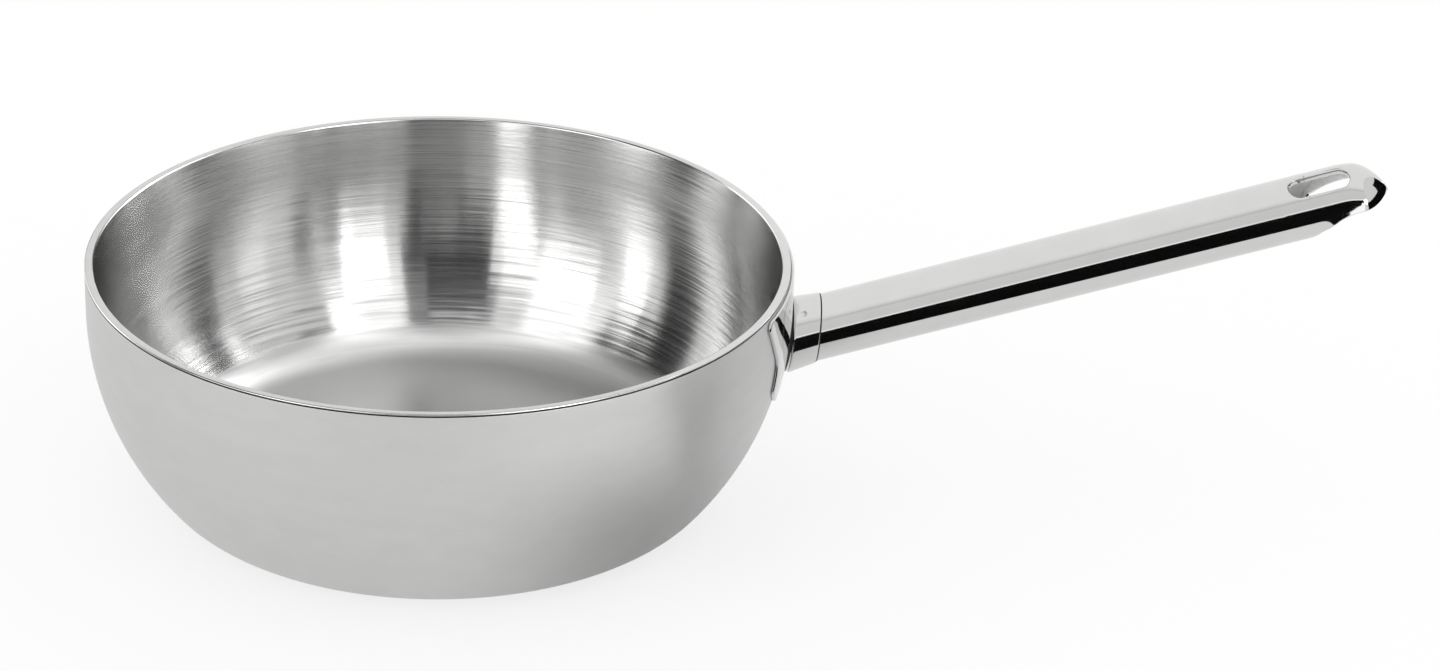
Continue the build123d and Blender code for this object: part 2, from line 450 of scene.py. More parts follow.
def tube_point(back, turn):
    """A place on the tube's outside, at a distance back from the tip and a turn from its top."""
    middle, half_height, half_width = tube_section(back)
    place = ROOT + AXIS * (HANDLE_REACH - TIP_SHORT * tip_share(back) - back)
    up, side = around_tube(back, turn)
    return place + TUBE_UP * (middle + half_height * up) + TUBE_SIDE * (half_width * side)


def tube_normal(back, turn):
    """Straight out from the tube's outside at the same place."""
    nearer = back - ALONG_STEP if back > 2 * ALONG_STEP else back
    along = tube_point(back + ALONG_STEP, turn) - tube_point(nearer, turn)
    round_way = tube_point(back, turn + TURN_STEP) - tube_point(back, turn - TURN_STEP)
    return along.cross(round_way).normalized()


def scoop_height(back):
    """Height of the round cut's edge above the axis, before its lip is rolled."""
    reach = (SCOOP_RADIUS + CUT_ROUND - CUT_PROUD) ** 2 - (SCOOP_BACK - back) ** 2
    return -SCOOP_DEPTH + sqrt(max(reach, 0))


def scoop_start():
    """Where the cut begins on the underside of the tube."""
    reach = (SCOOP_RADIUS + CUT_ROUND - CUT_PROUD) ** 2 - (SCOOP_DEPTH - TUBE_RADIUS) ** 2
    return SCOOP_BACK + sqrt(reach)


def half_turn(back):
    """How far the tube's wall reaches round from its top before the cut ends it."""
    middle, half_height, half_width = tube_section(back)
    level = (scoop_height(back) - middle) / max(half_height, TINY)
    return halved(0, pi, lambda turn: around_tube(back, turn)[0] <= level)[0]


def nose_end():
    """The least distance from the tip at which the nose stands above the cut."""
    def stands(back):
        middle, half_height, half_width = tube_section(back)
        return middle + half_height > scoop_height(back)

    return halved(0, NOSE_LENGTH / 4, stands)[1]


def stadium(way, flat, radius):
    """A point on a long slot's outline for an angle about its middle."""
    dx, dy = (flat + radius) * cos(way), radius * sin(way)
    if abs(dy) > SAME_PLACE and abs(dx) * radius / abs(dy) <= flat:
        return dx * radius / abs(dy), radius * (1 if dy > 0 else -1)
    # Scale the direction until it meets a round end
    longest = 3
    scale = halved(0, longest, lambda k: hypot(max(abs(dx * k) - flat, 0), dy * k) > radius)[0]
    return dx * scale, dy * scale


def between(start, end, count, power=1):
    """Values from a start up to just before an end, closer together at the start for a higher power."""
    return [start + (end - start) * (i / count) ** power for i in range(count)]


def merged(point):
    """The same key for points that lie in one place."""
    return tuple(round(axis / DOUBLES_APART) for axis in point)


def tube_rows(begin, hole_half):
    """Where the rows lie, back from the tip, and which rows the hole's patch starts and ends at."""
    patch_far = HOLE_BACK + hole_half + PATCH_MARGIN
    patch_near = HOLE_BACK - hole_half - PATCH_MARGIN
    # The first rows lean with the collar, so they have no single distance
    rows = [None] * COLLAR_ROWS + between(HANDLE_REACH - JOIN_BACK, patch_far, STRAIGHT_ROWS)
    first = len(rows)
    rows += between(patch_far, begin, PATCH_ROWS)
    # Close together where the cut begins, then evenly spaced
    rows += between(begin, patch_near, CUT_ROWS, 2)[:CUT_QUICK_ROWS]
    rows += between(rows[-1], patch_near, CUT_ROWS - CUT_QUICK_ROWS)[1:]
    second = len(rows)
    rows += [patch_near] + between(nose_end(), patch_near, NOSE_ROWS, 2)[::-1]
    rows[-1] += TIP_GAP
    return rows, first, second


def sheet_piece(name, points, normals, faces, sheet):
    """A closed piece from the outer side of a sheet: its inner side, and strips along its open edges."""
    count = len(points)
    edges = {}
    for face in faces:
        for a, b in zip(face, face[1:] + face[:1]):
            edges[merged(points[a]), merged(points[b])] = a, b
    strips = [
        (b, a, a + count, b + count)
        for (near, far), (a, b) in edges.items()
        if (far, near) not in edges and near != far
    ]
    inner_faces = [tuple(i + count for i in reversed(face)) for face in faces]
    inner_points = [point - normal * sheet for point, normal in zip(points, normals)]
    slots = [0] * len(faces) + [1] * len(inner_faces) + [0] * len(strips)
    return new_piece(name, points + inner_points, faces + inner_faces + strips, slots)


def make_tube():
    """The tube with its nose, its round cut and its long hole, as a sheet with rolled edges."""
    begin = scoop_start()
    hole_half = (HOLE_LENGTH + HOLE_ROUND) / 2
    hole_wide = (HOLE_WIDTH + HOLE_ROUND) / 2 / (1 - HOLE_ROUND / TUBE_RADIUS)
    rows, first, second = tube_rows(begin, hole_half)
    reaches = [half_turn(back) if back and back < begin else pi for back in rows]
    points, normals = [], []

    def put(back, turn):
        points.append(tube_point(back, turn))
        normals.append(tube_normal(back, turn))
        return len(points) - 1

    def turn_of(j, i):
        return reaches[j] * (2 * i / TUBE_COLUMNS - 1)

    grid = []
    for j, back in enumerate(rows):
        line = []
        for i in range(TUBE_COLUMNS + 1):
            turn, place = turn_of(j, i), back
            if back is None:
                up = RISE_UP.dot(TUBE_UP) * cos(turn) + RISE_UP.dot(TUBE_SIDE) * sin(turn)
                into_collar = WELD_GAP + j * TUBE_SHEET / 4
                place = HANDLE_REACH - COLLAR_START - LEAN * TUBE_RADIUS * up - into_collar
            line.append(put(place, turn))
        grid.append(line)
    low, high = TUBE_COLUMNS // 2 - HOLE_COLUMNS, TUBE_COLUMNS // 2 + HOLE_COLUMNS
    faces = [
        (grid[j][i], grid[j][i + 1], grid[j + 1][i + 1], grid[j + 1][i])
        for j in range(len(rows) - 1)
        for i in range(TUBE_COLUMNS)
        if not (first <= j < second and low <= i < high)
    ]
    # Rings of faces between the square patch and the hole's edge
    loop = [(first, i) for i in range(low, high)] + [(j, high) for j in range(first, second)]
    loop += [(second, i) for i in range(high, low, -1)] + [(j, low) for j in range(second, first, -1)]
    ends = []
    for j, i in loop:
        across = tube_section(rows[j])[2] * sin(turn_of(j, i))
        way = atan2(across / hole_wide, (rows[j] - HOLE_BACK) / hole_half)
        along, across = stadium(way, hole_half - hole_wide, hole_wide)
        back_end = HOLE_BACK + along
        ends.append((back_end, asin(across / tube_section(back_end)[2])))
    hole_loop = [grid[j][i] for j, i in loop]
    for k in range(1, HOLE_RINGS + 1):
        share = 1 - (1 - k / HOLE_RINGS) ** HOLE_RING_EASE
        ring = []
        for (j, i), (back_end, turn_end) in zip(loop, ends):
            back, turn = rows[j], turn_of(j, i)
            ring.append(put(back + (back_end - back) * share, turn + (turn_end - turn) * share))
        faces += joined(hole_loop, ring)
        hole_loop = ring
    start_row = next(j for j, back in enumerate(rows) if back and back <= begin + TINY)
    cut_loop = [grid[j][0] for j in range(start_row, len(rows))]
    cut_loop += [grid[-1][i] for i in range(1, TUBE_COLUMNS)]
    cut_loop += [grid[j][TUBE_COLUMNS] for j in range(len(rows) - 1, start_row, -1)]

    def hole_turn(into, place):
        return pi / 2 + asin(max(min(into.dot(TUBE_UP), 1), -1)), HOLE_FLANGE

    def cut_turn(into, place):
        back = HANDLE_REACH - (place - ROOT).dot(AXIS)
        share = eased(share_between(back, 0, CUT_FLANGE_FULL))
        return pi / 2, CUT_FLANGE_TIP + (CUT_FLANGE - CUT_FLANGE_TIP) * share

    faces += roll_edge(points, normals, hole_loop, HOLE_ROUND, hole_turn)
    faces += roll_edge(points, normals, cut_loop, CUT_ROUND, cut_turn)
    return sheet_piece("handle_tube_sheet", points, normals, faces, TUBE_SHEET)


def joined(loop, ring):
    """Faces between two closed loops of as many points."""
    nexts = [(m + 1) % len(loop) for m in range(len(loop))]
    return [(loop[m], loop[n], ring[n], ring[m]) for m, n in enumerate(nexts)]


def roll_edge(points, normals, loop, radius, bend):
    """Bends the sheet inwards along a loop of its edge, then runs it on for a short flange."""
    count = len(loop)
    faces = []
    middle = sum((points[i] for i in loop), Vector()) / count
    ins = []
    for m, i in enumerate(loop):
        ahead = points[loop[(m + 1) % count]] - points[loop[m - 1]]
        into = ahead.cross(normals[i])
        if into.length < SAME_PLACE:
            into = middle - points[i]
        ins.append(into.normalized())
    if sum(into.dot(middle - points[i]) for into, i in zip(ins, loop)) < 0:
        ins = [-into for into in ins]
    previous = list(loop)
    bases = [(points[i].copy(), normals[i].copy()) for i in loop]
    for k in range(1, ROLL_STEPS + FLANGE_STEPS + 1):
        ring = []
        for (point, normal), into in zip(bases, ins):
            end, flange = bend(into, point)
            turn = end * min(k / ROLL_STEPS, 1)
            rolled = point + into * (radius * sin(turn)) - normal * (radius * (1 - cos(turn)))
            if k > ROLL_STEPS:
                way = into * cos(turn) - normal * sin(turn)
                rolled += way * (flange * (k - ROLL_STEPS) / FLANGE_STEPS)
            ring.append(len(points))
            points.append(rolled)
            normals.append(normal * cos(turn) + into * sin(turn))
        faces += joined(previous, ring)
        previous = ring
    return faces


# Collar: a tapered ring with one punched dimple, whose place is measured back from the collar's end
COLLAR_START = 0.000757
COLLAR_LENGTH = 0.0098
COLLAR_ROOT = 0.0126
COLLAR_TIP = 0.0117
COLLAR_ROUND = 0.0007
COLLAR_STEP = 0.0005
COLLAR_TURN_STEP = radians(1.5)
SEAM_LENGTH = 0.00045
SEAM_PROUD = 0.00012
PUNCH_RADIUS = 0.0016
PUNCH_DEPTH = 0.0005
PUNCH_BACK = 0.0061
PUNCH_TURN = radians(36)
PUNCH_NEAR = 0.0018
PUNCH_STEP = 0.00011
PUNCH_NEAR_TURN = radians(9)
PUNCH_TURN_STEP = radians(0.55)
NECK_RADIUS = 0.012
WELD_GAP = 0.00005


def spaced(low, high, step, fine_middle, fine_half, fine_step):
    """Values from low to high, closer together about one place."""
    values = [low]
    while values[-1] < high - TINY:
        near = abs(values[-1] - fine_middle) < fine_half
        values.append(min(values[-1] + (fine_step if near else step), high))
    return values


def out_at(turn):
    """Straight out from the handle's axis, at a turn from its top towards the near side."""
    return RISE_UP * cos(turn) + NEAR_SIDE * sin(turn)


def make_collar():
    """The tapered ring between neck and tube, its faces leaning, with one punched dimple, and a bead at its
    end painted dark as the shade of its gap to the tube.
    """
    end, bore = COLLAR_LENGTH, TUBE_RADIUS + WELD_GAP
    root_middle = (COLLAR_ROUND, COLLAR_ROOT - COLLAR_ROUND)
    root_edge = arc(root_middle, COLLAR_ROUND, pi, pi / 2, EDGE_STEPS)
    tip_round = COLLAR_TIP - bore - 2 * SEAM_PROUD
    tip_edge = arc((end - tip_round, COLLAR_TIP - tip_round), tip_round, pi / 2, 0, EDGE_STEPS)
    slope = (COLLAR_TIP - COLLAR_ROOT) / (end - COLLAR_ROUND - tip_round)
    punch_at = end - PUNCH_BACK
    along = spaced(COLLAR_ROUND, end - tip_round, COLLAR_STEP, punch_at, PUNCH_NEAR, PUNCH_STEP)[1:-1]
    cone = [(s, COLLAR_ROOT + slope * (s - COLLAR_ROUND)) for s in along]
    # A thin bead at the collar's end, painted with the shade of the gap to the tube
    painted_shade_bead = [(end + SEAM_LENGTH, bore + SEAM_PROUD), (end + SEAM_LENGTH, bore)]
    outline = root_edge + cone + tip_edge + painted_shade_bead + [(0, bore)]
    punch_surface = COLLAR_ROOT + slope * (punch_at - COLLAR_ROUND)
    ball_out = out_at(PUNCH_TURN)
    ball_along = COLLAR_START + punch_at + LEAN * punch_surface * cos(PUNCH_TURN)
    ball = ROOT + AXIS * ball_along + ball_out * (punch_surface + PUNCH_RADIUS - PUNCH_DEPTH)
    rings = []
    for turn in spaced(-pi, pi, COLLAR_TURN_STEP, PUNCH_TURN, PUNCH_NEAR_TURN, PUNCH_TURN_STEP)[:-1]:
        out = out_at(turn)
        ring = []
        for s, radius in outline:
            point = ROOT + AXIS * (COLLAR_START + s + LEAN * radius * cos(turn)) + out * radius
            gap = point - ball
            if radius > bore + 2 * SEAM_PROUD and gap.length < PUNCH_RADIUS:
                side = gap - ball_out * gap.dot(ball_out)
                point = ball + side - ball_out * sqrt(PUNCH_RADIUS**2 - side.length_squared)
            ring.append(point)
        rings.append(ring)
    painted_shade_start = len(root_edge + cone + tip_edge) - 1
    return ring_piece("handle_collar_ring", rings, lambda j, i: int(painted_shade_start <= i < painted_shade_start + len(painted_shade_bead)))


# Plate: half widths, and drops below the rim
PLATE_SHEET = 0.0012
PLATE_DROP = 0.0015
PLATE_TOP = 0.052
PLATE_WAIST = 0.040
PLATE_WAIST_DROP = 0.022
PLATE_FOOT_DROP = 0.033
PLATE_TIP_DROP = 0.049
PLATE_CORNER = 0.0025
PLATE_WAIST_ROUND = 0.012
PLATE_BEVEL = PLATE_SHEET * 0.45
PLATE_COLUMNS = 360
PLATE_CORNER_STEPS = 12
PLATE_FOOT_STEPS = 24
BACK_SHARES = (0.25, 0.5, 0.75, 0.95)
BACK_EDGE_STEPS = 4
FACE_EDGE_STEPS = 6
FACE_SHARES = (0.15, 0.35, 0.55, 0.75, 0.9)

# Neck: the blend from the plate is least at its top, and all but its first step is painted dark as the shade
# of the weld's crease
BLEND_LEAST = 0.0006
BLEND_MORE = 0.0008
BLEND_STEPS = 8
NECK_LEAST = 1e-5
FOOT_SEARCH = 0.02
SHANK_RADIUS = 0.006
SHANK_INTO = 0.001


def rounded(corners, steps):
    """A closed outline from corners with their radii, each corner turned into an arc."""
    points = []
    count = len(corners)
    for i, (x, y, radius) in enumerate(corners):
        here = Vector((x, y))
        if radius == 0:
            points.append(here)
            continue
        back = (Vector(corners[i - 1][:2]) - here).normalized()
        ahead = (Vector(corners[(i + 1) % count][:2]) - here).normalized()
        half = back.angle(ahead) / 2
        reach = radius / tan(half)
        middle = here + (back + ahead).normalized() * (radius / sin(half))
        first, last = here + back * reach - middle, here + ahead * reach - middle
        turn = first.angle_signed(last)
        for k in range(steps + 1):
            a = -turn * k / steps
            spun = Vector((first.x * cos(a) - first.y * sin(a), first.x * sin(a) + first.y * cos(a)))
            points.append(middle + spun)
    return points


def plate_corners():
    """The plate's outline across (Y) and up (Z), the lower edge as an arc of short lines."""
    top, waist = PAN_HEIGHT - PLATE_DROP, PAN_HEIGHT - PLATE_WAIST_DROP
    foot, tip = PAN_HEIGHT - PLATE_FOOT_DROP, PAN_HEIGHT - PLATE_TIP_DROP
    fall = foot - tip
    bend = (PLATE_WAIST**2 + fall**2) / (2 * fall)
    span = asin(PLATE_WAIST / bend)
    lower = []
    for i in range(1, PLATE_FOOT_STEPS):
        a = span * (1 - 2 * i / PLATE_FOOT_STEPS)
        lower.append((bend * sin(a), tip + bend - bend * cos(a), 0))
    corners = [
        (PLATE_TOP, top, PLATE_CORNER),
        (PLATE_WAIST, waist, PLATE_WAIST_ROUND),
        (PLATE_WAIST, foot, PLATE_CORNER),
    ]
    mirrored = [(-y, z, r) for y, z, r in reversed(corners)]
    return rounded(corners + lower + mirrored, PLATE_CORNER_STEPS)


def even_loop(points, count):
    """The same closed outline with points at even distances."""
    lengths = [0.0]
    closed = points + [points[0]]
    for a, b in zip(closed, closed[1:]):
        lengths.append(lengths[-1] + (b - a).length)
    result = []
    i = 0
    for k in range(count):
        want = lengths[-1] * k / count
        while lengths[i + 1] < want:
            i += 1
        share = (want - lengths[i]) / max(lengths[i + 1] - lengths[i], SAME_PLACE)
        result.append(closed[i].lerp(closed[i + 1], share))
    return result


def wall_radius(z, out):
    """Radius of the surface at a distance outside the wall, at a height."""
    if z >= BELLY_TOP:
        return RIM_RADIUS + out
    return BELLY_CENTRE + sqrt((BELLY_RADIUS + out) ** 2 - (BELLY_TOP - z) ** 2)


def on_wall(spot, out):
    """A place across and up, laid on the surface at a distance outside the wall."""
    y, z = spot
    return Vector((sqrt(wall_radius(z, out) ** 2 - y**2), y, z))


def neck_foot(angle, radius):
    """Where a line along the handle, at a radius from its axis, meets the plate's face."""
    base = ROOT + out_at(angle) * radius

    def outside(along):
        spot = base + AXIS * along
        return hypot(spot.x, spot.y) > wall_radius(spot.z, WELD_GAP + PLATE_SHEET)

    return base + AXIS * halved(-FOOT_SEARCH, FOOT_SEARCH, outside)[0]


def make_bracket():
    """The plate bent to the wall, its edges rounded, and the neck that rises from it."""
    edge = even_loop(plate_corners(), PLATE_COLUMNS)
    heart = Vector((0, ROOT.z + PLATE_SHEET * tan(HANDLE_RISE)))
    inner_side, outer_side = WELD_GAP, WELD_GAP + PLATE_SHEET

    def edge_ring(amount, out):
        return [on_wall(spot + (heart - spot).normalized() * amount, out) for spot in edge]

    # Back of the plate, out to its edge, round the edge and in over its face
    rings = [[on_wall(heart.lerp(spot, share), inner_side) for spot in edge] for share in BACK_SHARES]
    for k in range(BACK_EDGE_STEPS + 1):
        a = pi / 2 * k / BACK_EDGE_STEPS
        rings.append(edge_ring(PLATE_BEVEL * (1 - sin(a)), inner_side + PLATE_BEVEL * (1 - cos(a))))
    for k in range(1, FACE_EDGE_STEPS + 1):
        a = pi / 2 * k / FACE_EDGE_STEPS
        rings.append(edge_ring(PLATE_BEVEL * (1 - cos(a)), outer_side - PLATE_BEVEL * (1 - sin(a))))
    # Foot of the neck, a smooth rise from plate to neck
    angles = [-atan2(spot.x, spot.y - heart.y) for spot in edge]
    feet = []
    for angle in angles:
        blend = BLEND_LEAST + BLEND_MORE * (1 - cos(angle)) / 2
        corner = neck_foot(angle, NECK_RADIUS)
        feet.append((neck_foot(angle, NECK_RADIUS + blend), corner, corner + AXIS * blend))
    face_ring = rings[-1]
    for share in FACE_SHARES:
        spots = [here.yz.lerp(start.yz, share) for here, (start, corner, top) in zip(face_ring, feet)]
        rings.append([on_wall(spot, outer_side) for spot in spots])
    blend_start = len(rings)
    for k in range(BLEND_STEPS + 1):
        f = k / BLEND_STEPS
        near, middle, far = (1 - f) ** 2, 2 * f * (1 - f), f**2
        rings.append([start * near + corner * middle + top * far for start, corner, top in feet])
    # End of the neck, and the shank that fills the collar
    neck_end = []
    for angle, (start, corner, top) in zip(angles, feet):
        along = max(COLLAR_START + LEAN * NECK_RADIUS * cos(angle), (top - ROOT).dot(AXIS) + NECK_LEAST)
        neck_end.append(ROOT + AXIS * along + out_at(angle) * NECK_RADIUS)
    rings.append(neck_end)
    for start, lean in ((COLLAR_START, LEAN * SHANK_RADIUS), (-SHANK_INTO, 0)):
        rings.append([ROOT + AXIS * (start + lean * cos(a)) + out_at(a) * SHANK_RADIUS for a in angles])
    # The blend round the neck's foot takes a painted shade, standing in for the crease's shadow
    return ring_piece("handle_plate", rings, lambda j, i: int(blend_start < j < blend_start + BLEND_STEPS))


# Marks: fine, hair-thin, broad and separate ones, each with its fineness, length, place and detail
FINE_MARKS = (1.0, 1.0, 0.0, 2.0)
HAIR_MARKS = (2.6, 2.2, 7.0, 1.0)
BROAD_MARKS = (0.1, 0.8, 13.0, 2.0)
LINE_MARKS = (1.3, 3.0, 29.0, 0.0)
LINE_START = 0.58
LINE_FULL = 0.72
LINE_LEAN = 0.3
STREAK_DETAIL = 3.0
SMUDGE_DETAIL = 2.0


def make_turned_marks():
    """Fine marks round the pan's axis: patterns, and a normal that they lean up and down the wall."""
    inputs = [("Across", "Float"), ("Around", "Float"), ("Lean", "Float")]
    outputs = [("Fine", "Float"), ("Broad", "Float"), ("Lines", "Float"), ("Normal", "Vector")]
    group, given, result = node_group("ShaderNodeTree", "turned_marks", inputs, outputs)
    where = add(group, "ShaderNodeTexCoord").outputs["Object"]
    flat = vector_node(group, "MULTIPLY", where, (1, 1, 0))
    round_way = vector_node(group, "NORMALIZE", flat)
    along = math_node(group, "SUBTRACT", split_up(group, where)["Z"], vector_node(group, "LENGTH", flat))
    across = math_node(group, "MULTIPLY", along, given["Across"])
    spun = scaled(group, round_way, given["Around"])

    def marks_at(fineness, length, shift, detail):
        lift = {"X": shift, "Z": math_node(group, "MULTIPLY", across, fineness)}
        lifted = add(group, "ShaderNodeCombineXYZ", lift).outputs[0]
        return noise_at(group, vector_node(group, "ADD", scaled(group, spun, length), lifted), detail)

    fine, hair = marks_at(*FINE_MARKS), marks_at(*HAIR_MARKS)
    # A few separate lines, where this pattern peaks
    lines = mapped(group, marks_at(*LINE_MARKS), (LINE_START, LINE_FULL), (0, 1))
    # The normal leans along the wall's section, never round the bowl
    side = add(group, "ShaderNodeNewGeometry").outputs["Normal"]
    level = vector_node(group, "CROSS_PRODUCT", round_way, (0, 0, 1))
    section = vector_node(group, "CROSS_PRODUCT", side, level)
    lean = math_node(group, "SUBTRACT", math_node(group, "ADD", fine, hair), 1)
    lean = math_node(group, "ADD", lean, math_node(group, "MULTIPLY", lines, LINE_LEAN))
    lean = math_node(group, "MULTIPLY", lean, given["Lean"])
    leaned = vector_node(group, "NORMALIZE", vector_node(group, "ADD", side, scaled(group, section, lean)))
    broad = marks_at(*BROAD_MARKS)
    feed(group, result, {"Fine": fine, "Broad": broad, "Lines": lines, "Normal": leaned})
    return group


def make_handling_marks():
    """Streaks along or round a turned frame, and soft smudges, for the bright parts."""
    inputs = [("Turn", "Vector"), ("Stretch", "Vector"), ("Fineness", "Float"), ("Seed", "Float")]
    outputs = [("Streaks", "Float"), ("Smudges", "Float")]
    group, given, result = node_group("ShaderNodeTree", "handling_marks", inputs, outputs)
    where = add(group, "ShaderNodeTexCoord").outputs["Object"]
    turned = add(group, "ShaderNodeMapping", {"Vector": where, "Rotation": given["Turn"]}).outputs[0]
    lift = add(group, "ShaderNodeCombineXYZ", {"X": given["Seed"]}).outputs[0]
    streaks = vector_node(group, "MULTIPLY", turned, given["Stretch"])
    smudges = scaled(group, where, given["Fineness"])
    for label, place, detail in (("Streaks", streaks, STREAK_DETAIL), ("Smudges", smudges, SMUDGE_DETAIL)):
        feed(group, result, {label: noise_at(group, vector_node(group, "ADD", place, lift), detail)})
    return group


# Colours of the metals, each paler and deeper
LINER_PALE = (0.72, 0.72, 0.715)
LINER_LINE = (0.5, 0.5, 0.495)
RING_PALE = (0.78, 0.78, 0.775)
FLOOR_PALE = (0.6, 0.6, 0.596)
SKIN_PALE = (0.675, 0.675, 0.67)
SKIN_DEEP = (0.655, 0.655, 0.65)
BRIGHT = ((0.73, 0.73, 0.722), (0.705, 0.705, 0.697))
DULL = ((0.6, 0.6, 0.59), (0.5, 0.5, 0.49))
BORE = ((0.96, 0.96, 0.955), (0.9, 0.9, 0.895))
CORE = ((0.8, 0.805, 0.81), (0.68, 0.685, 0.69))
# Near black for seams and creases: painted shade in the gaps and hollows
SEAM_PAINTED_SHADE = ((0.02, 0.02, 0.02), (0.006, 0.006, 0.006))

# Ways that streaks run, as how close they lie along the handle, across it and up
ALONG_HANDLE = (25.0, 1400.0, 1400.0)
ROUND_HANDLE = (2600.0, 40.0, 40.0)
UP_AND_DOWN = (500.0, 500.0, 90.0)
EVERY_WAY = (800.0, 800.0, 800.0)
DOWN_PLATE = (60.0, 700.0, 700.0)

# Finishes: colours, whether metal, least and most roughness, way of the streaks, fineness of smudges, seed
FINISHES = {
    "rim_steel": (BRIGHT, 1, 0.12, 0.18, EVERY_WAY, 120, 3),
    # The seam, weld and collar seam finishes below are painted shade, near black
    "bowl_seam_painted_shade": (SEAM_PAINTED_SHADE, 0, 0.5, 0.7, UP_AND_DOWN, 400, 5),
    "bracket_steel": (BRIGHT, 1, 0.05, 0.1, DOWN_PLATE, 110, 11),
    "weld_painted_shade": (SEAM_PAINTED_SHADE, 0, 0.5, 0.7, UP_AND_DOWN, 400, 13),
    "collar_steel": (BRIGHT, 1, 0.05, 0.09, ROUND_HANDLE, 160, 17),
    "collar_seam_painted_shade": (SEAM_PAINTED_SHADE, 0, 0.5, 0.7, UP_AND_DOWN, 400, 19),
    "tube_steel": (BRIGHT, 1, 0.045, 0.08, ALONG_HANDLE, 90, 23),
    "tube_inside": (BORE, 0, 0.3, 0.42, ALONG_HANDLE, 200, 29),
    "core_aluminium": (CORE, 1, 0.34, 0.48, UP_AND_DOWN, 90, 31),
    "spigot_steel": (DULL, 1, 0.2, 0.34, ROUND_HANDLE, 130, 37),
}

# Brushing of the liner and the skin
BRUSHED_STEPS = 6
BRUSHED_ROUGH = 0.17
MATT_ROUGH = 0.5
ROUGH_SPREAD = 0.015
BRUSH_TURN = 0.25
LINER_ACROSS = 2500
LINER_AROUND = 1.2
LINER_LEAN = 0.2
MATT_LINES = 0.2
LINE_SPREAD = (-0.3, 1.3)
FLOOR_TOP = 0.003
RING_TOP = 0.0062
FLOOR_EDGE = 0.0065
WALL_EDGE = 0.0125
SKIN_ACROSS = 2200
SKIN_AROUND = 12
SKIN_LEAN = 0.02
SKIN_ROUGH = (0.47, 0.53)


def new_finish(name):
    """A material, its node tree and its Principled node."""
    material = bpy.data.materials.new(name)
    material.use_nodes = True
    return material, material.node_tree, material.node_tree.nodes["Principled BSDF"]


def marks_from(tree, group, feeds):
    """A group of marks placed in a material with its own values, giving its outputs."""
    return add(tree, "ShaderNodeGroup", feeds, node_tree=group).outputs


def make_liner_steel(name, brushed):
    """The inside of the bowl, from matt on its floor to finely brushed round its wall."""
    pale = Vector(RING_PALE).lerp(Vector(LINER_PALE), brushed)
    material, tree, shader = new_finish(name)
    tangent = add(tree, "ShaderNodeTangent", direction_type="RADIAL", axis="Z").outputs[0]
    feeds = {"Across": LINER_ACROSS, "Around": LINER_AROUND, "Lean": LINER_LEAN * brushed}
    marks = marks_from(tree, TURNED_MARKS, feeds)
    rough = BRUSHED_ROUGH * brushed + MATT_ROUGH * (1 - brushed)
    roughness = spread(tree, marks["Broad"], rough - ROUGH_SPREAD, rough + ROUGH_SPREAD)
    shade = math_node(tree, "ADD", marks["Lines"], spread(tree, marks["Fine"], *LINE_SPREAD))
    shade = math_node(tree, "MULTIPLY", shade, (MATT_LINES + (1 - MATT_LINES) * brushed) / 2)
    colour = tinted(tree, shade, pale, LINER_LINE)
    if brushed < 0.5:
        # The floor is darker, and blends into the pale ring about it
        height = split_up(tree, add(tree, "ShaderNodeTexCoord").outputs["Object"])["Z"]
        colour = tinted(tree, soft_step(tree, height, FLOOR_TOP, RING_TOP), FLOOR_PALE, colour)
    feed(tree, shader, {"Metallic": 1, "Anisotropic": brushed, "Anisotropic Rotation": BRUSH_TURN})
    feed(tree, shader, {"Tangent": tangent, "Normal": marks["Normal"]})
    feed(tree, shader, {"Roughness": roughness, "Base Color": colour})
    return material


def make_skin_steel():
    """The outside of the bowl, evenly satin with the faintest marks round it."""
    material, tree, shader = new_finish("satin_skin_steel")
    feeds = {"Across": SKIN_ACROSS, "Around": SKIN_AROUND, "Lean": SKIN_LEAN}
    marks = marks_from(tree, TURNED_MARKS, feeds)
    roughness = spread(tree, marks["Fine"], *SKIN_ROUGH)
    colour = tinted(tree, spread(tree, marks["Broad"], 0, 1), SKIN_PALE, SKIN_DEEP)
    feed(tree, shader, {"Metallic": 1, "Roughness": roughness, "Base Color": colour})
    return material


def make_marked_metal(name):
    """A finish whose colour follows its smudges, and its roughness its streaks and smudges."""
    (pale, deep), metal, smooth, rough, stretch, fineness, seed = FINISHES[name]
    material, tree, shader = new_finish(name)
    feeds = {"Turn": (0, HANDLE_RISE, 0), "Stretch": stretch, "Fineness": fineness, "Seed": seed}
    marks = marks_from(tree, HANDLING_MARKS, feeds)
    both = math_node(tree, "MULTIPLY", math_node(tree, "ADD", marks["Streaks"], marks["Smudges"]), 0.5)
    roughness = spread(tree, both, smooth, rough)
    colour = tinted(tree, spread(tree, marks["Smudges"], 0, 1), pale, deep)
    feed(tree, shader, {"Metallic": metal, "Roughness": roughness, "Base Color": colour})
    return material


def liner_slot(centre):
    """Which material a face of the liner takes: by its height from matt to brushed, or rim, or the painted
    shade in the seam's groove.
    """
    outer = hypot(centre.x, centre.y) > RIM_RADIUS - SKIN_SHEET
    if outer and centre.z < GROOVE_TOP + LIP_ROUND:
        return BRUSHED_STEPS + 2
    if centre.z > PAN_HEIGHT - RIM_ROUND or (outer and centre.z > GROOVE_TOP):
        return BRUSHED_STEPS + 1
    return round(share_between(centre.z, FLOOR_EDGE, WALL_EDGE) * BRUSHED_STEPS)


